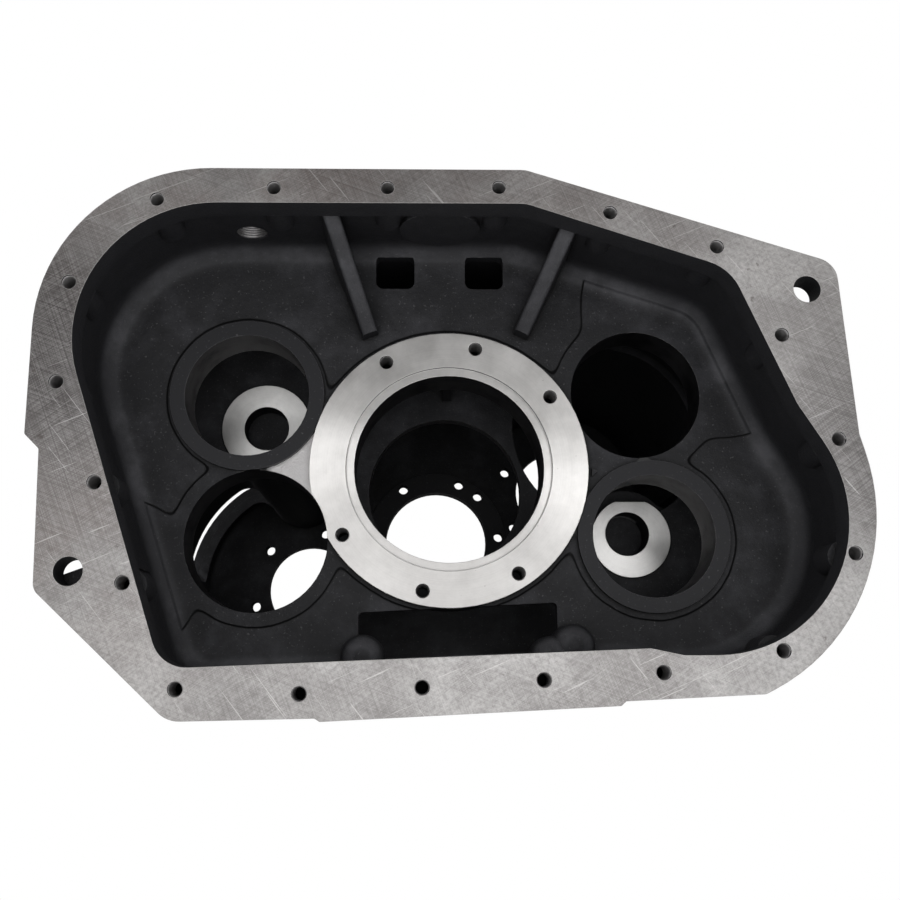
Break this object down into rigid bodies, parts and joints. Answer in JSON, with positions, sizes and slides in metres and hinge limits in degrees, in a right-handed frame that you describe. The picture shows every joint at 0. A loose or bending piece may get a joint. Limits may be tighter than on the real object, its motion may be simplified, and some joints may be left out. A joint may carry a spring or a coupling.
{
  "type": "gearbox housing",
  "caption": "One-piece cast iron transmission housing: wide bolted joint flange over a walled chamber with five bearing bores and a deep lower chamber.",
  "frame": {"origin": "centre of the main bore in the machined rear face, on which the housing stands", "axes": "+Z along the main bore towards the joint flange, +X along the long side of the flange, +Y towards its straight upper edge"},
  "size_m": [0.6798, 0.453, 0.7],
  "materials": {
    "casting": "dark as-cast skin with bright machined faces"
  },
  "bodies": {
    "root": {"housing": "casting"}
  },
  "joints": []
}
